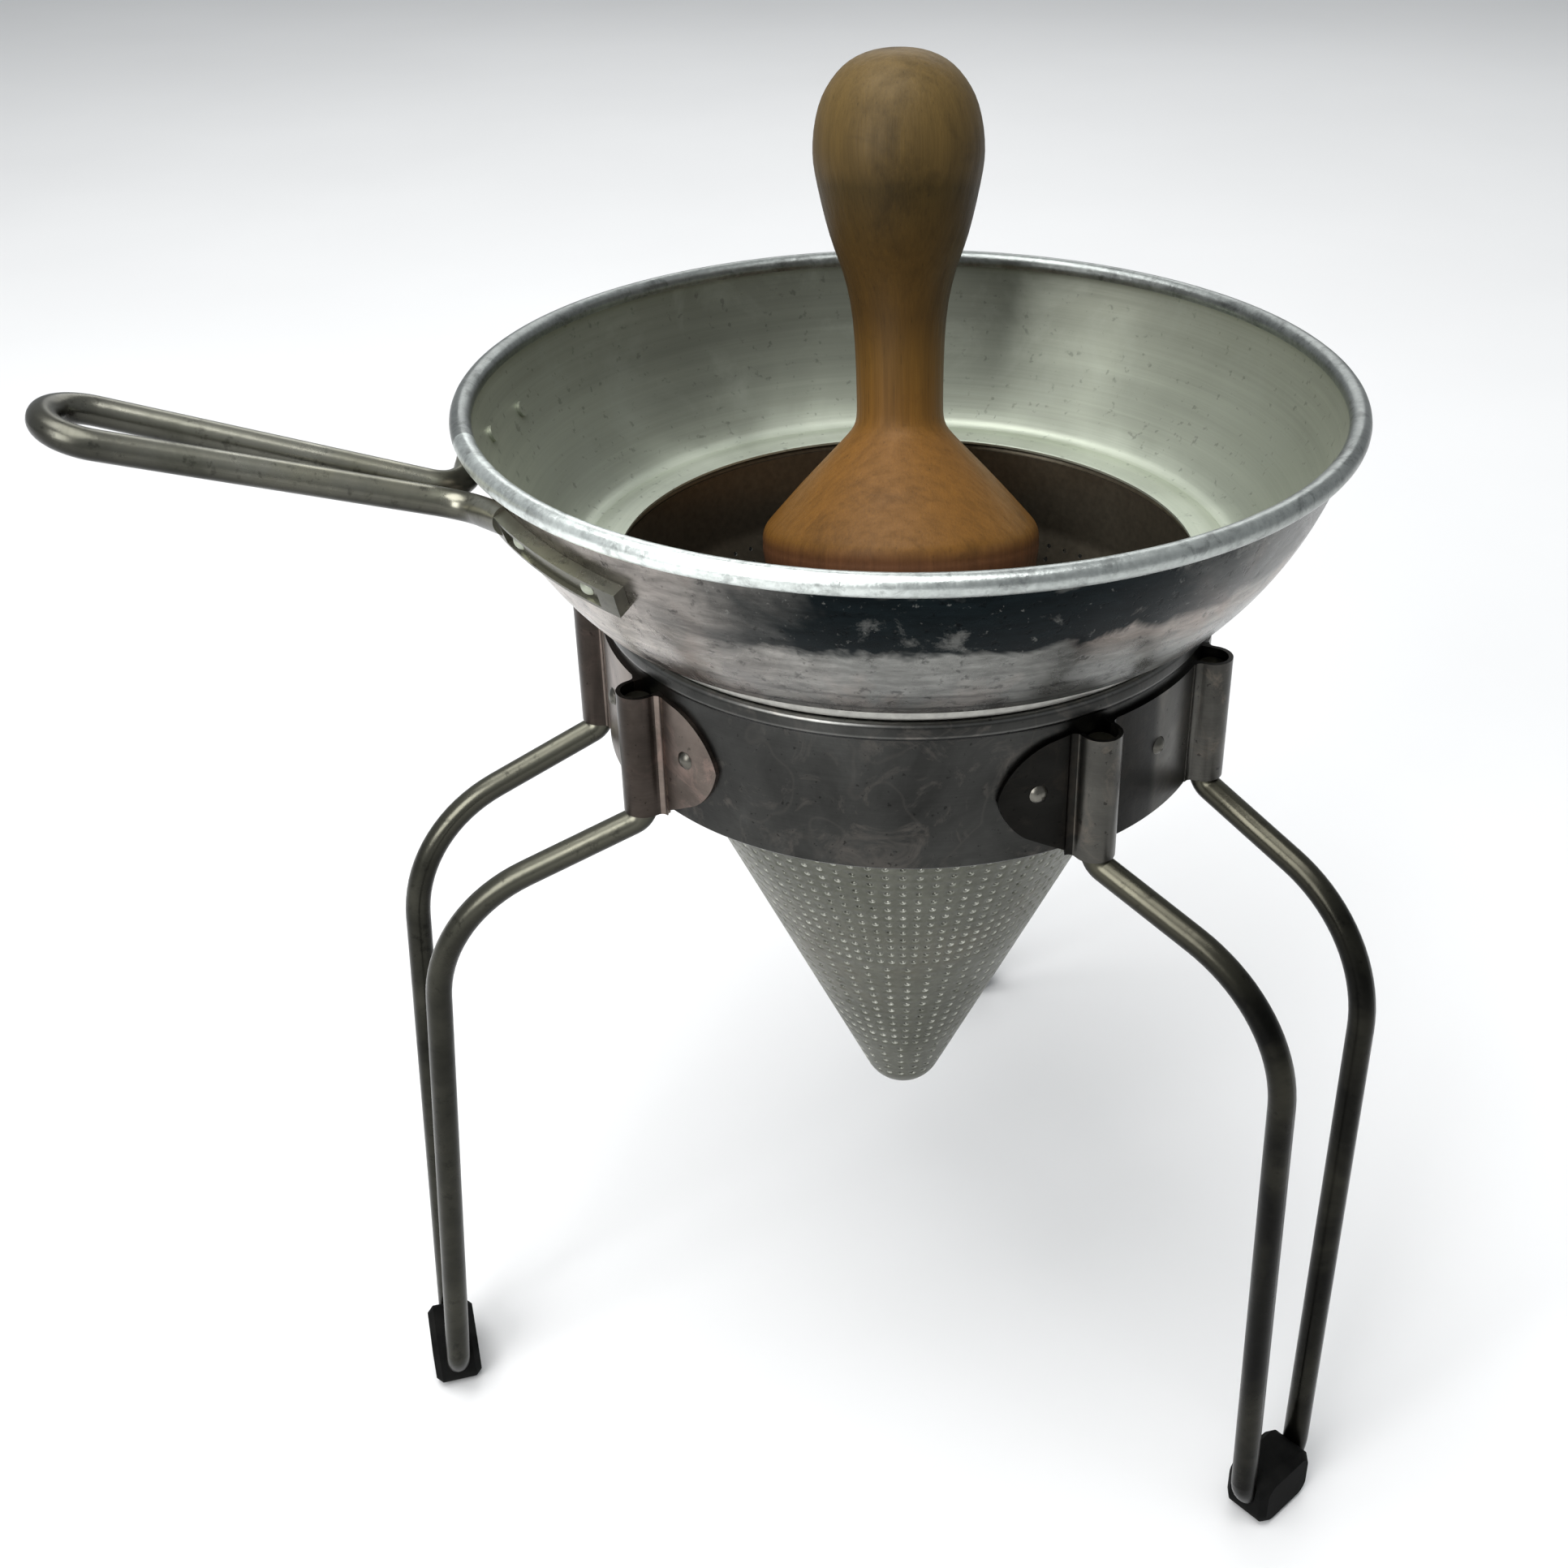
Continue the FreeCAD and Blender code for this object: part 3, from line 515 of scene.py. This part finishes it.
def lathe(name, runs, materials, segments=256):
    """A closed section turned about Z. runs are (points, material index)."""
    section = []
    for points, index in runs:
        for point in points:
            if section and math.dist(point, section[-1][0]) < 1e-4:
                section[-1] = (section[-1][0], index)
            else:
                section.append((point, index))
    mesh = bpy.data.meshes.new(name)
    shape = bmesh.new()
    rings = []
    for (radius, z), _ in section:
        if radius < 1e-6:
            rings.append([shape.verts.new((0, 0, z * MM))])
            continue
        ring = []
        for i in range(segments):
            angle = 2 * math.pi * i / segments
            ring.append(shape.verts.new(round_z(radius, angle, z)))
        rings.append(ring)
    count = len(rings)
    for k in range(count):
        low, high = rings[k], rings[(k + 1) % count]
        if len(low) == 1 and len(high) == 1:
            continue
        for i in range(segments):
            j = (i + 1) % segments
            corners = [low[i % len(low)], low[j % len(low)], high[j % len(high)], high[i % len(high)]]
            face = shape.faces.new(list(dict.fromkeys(corners)))
            face.material_index = section[k][1]
    bmesh.ops.recalc_face_normals(shape, faces=shape.faces)
    shape.to_mesh(mesh)
    shape.free()
    for material in materials:
        mesh.materials.append(material)
    return mesh


# ------------------------------------------------------------------ bowl
def build_bowl():
    def wall(inset):
        radius = ARC_R - inset
        corner_z = FLOOR_Z + CORNER_R
        drop = corner_z - ARC_Z
        corner_x = ARC_X + math.sqrt((ARC_R - CORNER_R) ** 2 - drop ** 2)
        top = math.degrees(math.asin((RIM_Z - 2.4 - ARC_Z) / radius))
        low = math.degrees(math.atan2(drop, corner_x - ARC_X))
        side = arc(ARC_X, ARC_Z, radius, top, low, 28)
        corner = arc(corner_x, corner_z, CORNER_R - inset, low, -90, 10)
        return side + corner[1:]

    outer = wall(0)
    inner = wall(WALL)
    step = [(82.0, FLOOR_Z), (81.0, FLOOR_Z + 0.25), (77.5, FLOOR_Z + 0.3), (76.6, FLOOR_Z + 0.05)]
    lip_z = FLOOR_Z + WALL
    lip = [(THROAT_R + 0.5, FLOOR_Z), (THROAT_R, FLOOR_Z + 0.3), (THROAT_R, lip_z - 0.3),
           (THROAT_R + 0.5, lip_z)]
    inner_step = [(76.6, lip_z), (77.4, lip_z + 0.35), (81.2, lip_z + 0.35), (82.2, lip_z)]
    bead = arc(RIM_R, RIM_Z, BEAD_R, 205, -112, 22)
    runs = [
        (outer + step, 1),
        (lip + inner_step + inner[::-1], 0),
        (bead, 2),
        (outer[:1], 1),
    ]
    mesh = lathe("bowl", runs, [bowl_inside(), bowl_outside(), bowl_rim()], 288)
    return add_object("bowl", mesh, "strainer", ["hopper_bowl"])


# ------------------------------------------------------------------ sieve
def sieve_line(inset):
    """The wall's line at a depth under its outside: collar top to tip, as named parts."""
    tip_z = APEX_Z + TIP_R / math.sin(HALF)
    degrees = math.degrees(HALF)
    corner_z = APEX_Z + COLLAR_R / CONE_SLOPE
    shoulder_z = corner_z + SHOULDER_R * math.tan(HALF / 2)
    tip = arc(0, tip_z, TIP_R - inset, -degrees, -90, 9)
    shoulder = arc(COLLAR_R - SHOULDER_R, shoulder_z, SHOULDER_R - inset, 0, -degrees, 5)
    top = [(COLLAR_R - inset, FLOOR_Z - 1.6), (COLLAR_R - inset, shoulder_z + 8)]
    return top, shoulder, tip


def build_sieve():
    shape = bmesh.new()
    parts = sieve_line(0), sieve_line(SIEVE_WALL), sieve_line(HOLE_DIMPLE)
    points = 3 * HOLE_COLUMNS

    def ring(radius, z, count, shift=0.0):
        made = []
        for i in range(count):
            angle = 2 * math.pi * (i + shift) / count
            made.append(shape.verts.new(round_z(radius, angle, z)))
        return made

    def strip(a, b):
        """Faces between two rings; b has as many points as a, or half."""
        ratio = len(a) // len(b)
        for i in range(len(b)):
            j = (i + 1) % len(b)
            corners = [a[(i * ratio + k) % len(a)] for k in range(ratio + 1)]
            shape.faces.new(corners + [b[j], b[i]])

    def join_rings(a, b, material=0):
        for k in range(len(a)):
            n = (k + 1) % len(a)
            shape.faces.new([a[k], a[n], b[n], b[k]]).material_index = material

    slope_top = [part[1][-1] for part in parts]
    slope_low = [part[2][0] for part in parts]
    length = math.dist(slope_top[0], slope_low[0])
    rows = int((length - HOLE_FIRST_ROW - HOLE_LAST_GAP) / HOLE_PITCH)

    def on_slope(side, run):
        t = run / length
        a, b = slope_top[side], slope_low[side]
        return a[0] + (b[0] - a[0]) * t, a[1] + (b[1] - a[1]) * t

    # the circles of a hole on each side: (which wall line, radius)
    circles = [[(0, HOLE_MOUTH_R), (2, HOLE_R)], [(1, HOLE_R)]]
    hole_rings = [[], []]
    ends = []
    for side in (0, 1):
        top, shoulder, tip = parts[side]
        rings = [ring(r, z, points) for r, z in top + shoulder]
        for a, b in zip(rings, rings[1:]):
            strip(a, b)
        ends.append(rings[0])
        last = rings[-1]
        columns = HOLE_COLUMNS
        run = HOLE_FIRST_ROW
        border = ring(*on_slope(side, run), 3 * columns)
        strip(last, border)
        for _ in range(rows):
            if on_slope(0, run)[0] * 2 * math.pi / columns < HOLE_MIN_SPACING:
                columns //= 2
                run += HOLE_HALVING_GAP
                coarse = ring(*on_slope(side, run), 3 * columns)
                strip(border, coarse)
                border = coarse
            next_border = ring(*on_slope(side, run + HOLE_PITCH), 3 * columns)
            thirds = [ring(*on_slope(side, run + HOLE_PITCH * k / 3), columns) for k in (1, 2)]
            outer_r = on_slope(0, run + HOLE_PITCH / 2)[0]
            for i in range(columns):
                j = (i + 1) % columns
                edge = [border[(3 * i + k) % (3 * columns)] for k in range(4)]
                edge += [thirds[0][j], thirds[1][j]]
                edge += [next_border[(3 * i + k) % (3 * columns)] for k in (3, 2, 1, 0)]
                edge += [thirds[1][i], thirds[0][i]]
                hole = []
                for level, hole_r in circles[side]:
                    centre_r, centre_z = on_slope(level, run + HOLE_PITCH / 2)
                    circle = []
                    for k in range(12):
                        turn = 2 * math.pi * k / 12
                        angle = 2 * math.pi * (i + 0.5) / columns + hole_r * math.cos(turn) / outer_r
                        radius = centre_r + hole_r * math.sin(turn) * math.sin(HALF)
                        z = centre_z + hole_r * math.sin(turn) * math.cos(HALF)
                        circle.append(shape.verts.new(round_z(radius, angle, z)))
                    hole.append(match_turn(edge, circle))
                join_rings(edge, hole[0])
                if len(hole) == 2:
                    join_rings(*hole, 1)
                hole_rings[side].append(hole[-1])
            border = next_border
            run += HOLE_PITCH
        tip_rings = [ring(r, z, 3 * columns) for r, z in tip[:-1]]
        strip(border, tip_rings[0])
        for a, b in zip(tip_rings, tip_rings[1:]):
            strip(a, b)
        pole = shape.verts.new((0, 0, tip[-1][1] * MM))
        low = tip_rings[-1]
        for i in range(len(low)):
            shape.faces.new([low[i], low[(i + 1) % len(low)], pole])
    for outside, inside in zip(*hole_rings):
        join_rings(outside, inside, 1)
    strip(ends[0], ends[1])
    section = arc(SIEVE_BEAD_MIDDLE, FLOOR_Z - SIEVE_BEAD_R, SIEVE_BEAD_R, 180, 0, 10)
    section += arc(SIEVE_BEAD_MIDDLE, SIEVE_BEAD_LOW + SIEVE_BEAD_R, SIEVE_BEAD_R, 0, -180, 10)
    bead = [ring(r, z, points) for r, z in section]
    for a, b in zip(bead, bead[1:] + bead[:1]):
        strip(a, b)
    bmesh.ops.recalc_face_normals(shape, faces=shape.faces)
    mesh = bpy.data.meshes.new("sieve")
    shape.to_mesh(mesh)
    shape.free()
    mesh.materials.append(sieve_metal())
    mesh.materials.append(hole_metal())
    return add_object("sieve", mesh, "strainer", ["sieve_cone"], crease=50)


def match_turn(edge, mouth):
    """Starts the mouth's points at the one nearest the border's first corner, and turns the same way."""
    def total(order):
        return sum((a.co - b.co).length for a, b in zip(edge, order))

    best = None
    for way in (mouth, mouth[::-1]):
        for start in range(len(way)):
            order = way[start:] + way[:start]
            cost = total(order)
            if best is None or cost < best[0]:
                best = (cost, order)
    return best[1]


# ------------------------------------------------------------------ stand ring
def build_stand_ring():
    inner = BAND_R - BAND_WALL
    top = BAND_TOP - BAND_BEAD_R
    low = BAND_TOP - BAND_BEAD_HEIGHT + BAND_BEAD_R
    runs = [
        (arc(BAND_BEAD_MIDDLE, top, BAND_BEAD_R, 180, 0, 12), 0),
        (arc(BAND_BEAD_MIDDLE, low, BAND_BEAD_R, 0, -62, 6), 0),
        ([(BAND_R, low - 2.2), (BAND_R, BAND_LOW + 0.35)], 0),
        ([(BAND_R - 0.3, BAND_LOW), (inner + 0.3, BAND_LOW), (inner, BAND_LOW + 0.35)], 0),
        ([(inner, low - 2.2)], 0),
        (arc(BAND_BEAD_MIDDLE, low, BAND_BEAD_R, -118, -180, 6), 0),
    ]
    material = stand_metal("stand_band", None, (0.038, 0.038, 0.036), (0.085, 0.077, 0.069),
                           painted_bead_lines_from=BAND_TOP - BAND_BEAD_HEIGHT)
    mesh = lathe("stand_band", runs, [material], 288)
    return add_object("stand_band", mesh, "stand", ["stand_ring"])


# ------------------------------------------------------------------ pestle
def build_pestle():
    apex = APEX_Z + SIEVE_WALL / math.sin(HALF)
    pivot_z = PESTLE_HEAD_Z - PESTLE_HEAD_AWAY / math.tan(PESTLE_LEAN)
    taper = HALF - PESTLE_LEAN
    ball_r = (pivot_z - apex) * math.sin(HALF) - PESTLE_GAP
    head_s = PESTLE_HEAD_AWAY / math.sin(PESTLE_LEAN)
    degrees = math.degrees(taper)

    def roller_r(s):
        return ball_r / math.cos(taper) + s * math.tan(taper)

    tail = arc(0, 0, ball_r, -90, -degrees, 12)
    tail[0] = (0.0, -ball_r)
    body = [(roller_r(s), s) for s in (20, 50, 80, 110, head_s - 4.0, head_s - 2.0)]
    head = [(PESTLE_HEAD_R - 0.25, head_s - 0.9), (PESTLE_HEAD_R, head_s + 0.4),
            (PESTLE_HEAD_R - 0.35, head_s + 2.4), (PESTLE_HEAD_R - 1.2, head_s + 4.2),
            (PESTLE_HEAD_R - 2.7, head_s + 5.8)]
    flare = [(27.5, head_s + 14.4), (18.8, head_s + 23.2), (14.0, head_s + 28.2), (12.3, head_s + 30.3),
             (11.65, head_s + 32.8)]
    knots = [(11.6, 36.0), (11.7, 46.0), (12.2, 58.6), (13.9, 68.0), (16.0, 74.0), (18.3, 80.0),
             (20.4, 88.5), (22.2, 97.0), (22.6, 101.0), (22.3, 107.0), (20.9, 113.2), (19.0, 117.3),
             (16.0, 121.4), (12.8, 124.2), (8.6, 126.2), (4.3, 127.1), (0.0, 127.3)]
    knob = [(r, head_s + s) for r, s in knots]
    runs = [(tail + body + head + flare + knob, 0)]
    mesh = lathe("pestle_turned", runs, [wood()], 96)
    mesh.transform(Matrix.Rotation(PESTLE_AZIMUTH, 4, "Z") @ Matrix.Rotation(PESTLE_LEAN, 4, "Y"))
    place = Matrix.Translation(AXIS + Vector((0, 0, pivot_z * MM)))
    piece = add_object("pestle_turned", mesh, "pestle_body", ["pestle"], place, 60)
    smooth = piece.modifiers.new("smooth", "SUBSURF")
    smooth.levels = smooth.render_levels = 1
    return piece


# ------------------------------------------------------------------ CAD nodes that stay
def paint(node, material, bevel=0.0, crease=30.0):
    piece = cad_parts[node]
    piece.data.materials.clear()
    piece.data.materials.append(material)
    if bevel:
        soft = piece.modifiers.new("soft_edges", "BEVEL")
        soft.width = bevel * MM
        soft.segments = 2
        soft.limit_method = "ANGLE"
        soft.angle_limit = math.radians(crease)


def paint_cad_nodes():
    # Lit and shaded copies of one bracket metal: the left bracket painted lighter, the right and back ones
    # darker, with painted shade on the left one's sockets and on the right one's near tab.
    left = stand_metal("bracket_metal_left", AXIS, (0.15, 0.122, 0.105), (0.26, 0.185, 0.16), 0.26)
    right = stand_metal("bracket_metal_shaded", AXIS, (0.062, 0.060, 0.054), (0.13, 0.11, 0.09), 0.95,
                        0.16)
    rivet = stand_metal("rivet_metal", AXIS, (0.12, 0.115, 0.10), (0.10, 0.085, 0.07))
    # Lit and shaded copies of one wire metal: the left leg painted lighter, the other legs darker.
    shaded_leg = wire_metal("leg_metal", AXIS, (0.0022, 0.0022, 0.0018), (0.012, 0.0117, 0.009),
                     (0.105, 0.100, 0.074), 0.172)
    lit_leg = wire_metal("leg_metal_left", AXIS, (0.014, 0.014, 0.011), (0.046, 0.045, 0.035),
                         (0.125, 0.122, 0.095), 0.160)
    handle = wire_metal("handle_metal", AXIS, (0.12, 0.12, 0.095), (0.26, 0.255, 0.215), (0.23, 0.22, 0.155))
    handle_rivet = bowl_inside("handle_rivet_metal", AXIS)
    black = rubber()
    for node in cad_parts:
        if node.startswith("handle_rivet"):
            paint(node, handle_rivet)
        elif "rivet" in node:
            paint(node, rivet)
        elif node.startswith("leg_bracket"):
            paint(node, left if node.endswith("left") else right, 0.25)
        elif node.startswith("leg_"):
            paint(node, lit_leg if node.endswith("left") else shaded_leg)
        elif node.startswith("foot_"):
            paint(node, black)
        elif node == "handle":
            paint(node, handle, 0.35)


# ------------------------------------------------------------------ stage
def add_camera():
    data = bpy.data.cameras.new("camera")
    data.lens = CAMERA_LENS
    data.sensor_width = 36.0
    data.shift_x, data.shift_y = CAMERA_SHIFT
    data.clip_start = 0.01
    data.clip_end = 50.0
    camera = bpy.data.objects.new("camera", data)
    bpy.context.collection.objects.link(camera)
    flat = math.cos(CAMERA_PITCH)
    ahead = Vector((math.cos(CAMERA_HEADING) * flat, math.sin(CAMERA_HEADING) * flat,
                    -math.sin(CAMERA_PITCH)))
    right = Vector((math.sin(CAMERA_HEADING), -math.cos(CAMERA_HEADING), 0))
    up = right.cross(ahead)
    cos, sin = math.cos(CAMERA_ROLL), math.sin(CAMERA_ROLL)
    x_axis = right * cos + up * sin
    y_axis = up * cos - right * sin
    turn = Matrix((x_axis, y_axis, -ahead)).transposed().to_4x4()
    camera.matrix_world = Matrix.Translation(AXIS + Vector(CAMERA_PLACE)) @ turn
    bpy.context.scene.camera = camera


def add_light(name, place, aim, size, power, color=(1, 1, 1)):
    data = bpy.data.lights.new(name, "AREA")
    data.shape = "RECTANGLE"
    data.size, data.size_y = size
    data.energy = power
    data.color = color
    light = bpy.data.objects.new(name, data)
    bpy.context.collection.objects.link(light)
    light.location = place
    light.rotation_euler = (Vector(aim) - Vector(place)).to_track_quat("-Z", "Y").to_euler()


def add_stage():
    half = 6.0
    mesh = bpy.data.meshes.new("floor")
    corners = [(-half, -half, 0), (half, -half, 0), (half, half, 0), (-half, half, 0)]
    mesh.from_pydata(corners, [], [(0, 1, 2, 3)])
    floor = bpy.data.objects.new("floor", mesh)
    bpy.context.collection.objects.link(floor)
    net = Net("floor")
    tone = net.ramp(net.noise(net.coords(), 3.0, 3.0, 0.5), (0.3, 0.80), (0.7, 0.83))
    mesh.materials.append(net.finish(tone, 0.7))
    world = bpy.data.worlds.new("world")
    bpy.context.scene.world = world
    world.use_nodes = True
    sky = world.node_tree.nodes["Background"]
    sky.inputs["Color"].default_value = (0.93, 0.97, 1.0, 1.0)
    sky.inputs["Strength"].default_value = 0.40
    middle = (0, 0, 0.2)
    add_light("top_box", (-0.3, -0.1, 1.7), middle, (1.6, 1.2), 30.0)
    add_light("side_box", (-1.4, -1.0, 1.1), middle, (1.0, 1.2), 26.0)
    add_light("back_box", (0.7, 1.6, 1.3), middle, (1.6, 0.8), 8.0)
    bpy.context.scene.view_settings.view_transform = "Standard"


build_bowl()
build_sieve()
build_stand_ring()
build_pestle()
paint_cad_nodes()
add_stage()
add_camera()
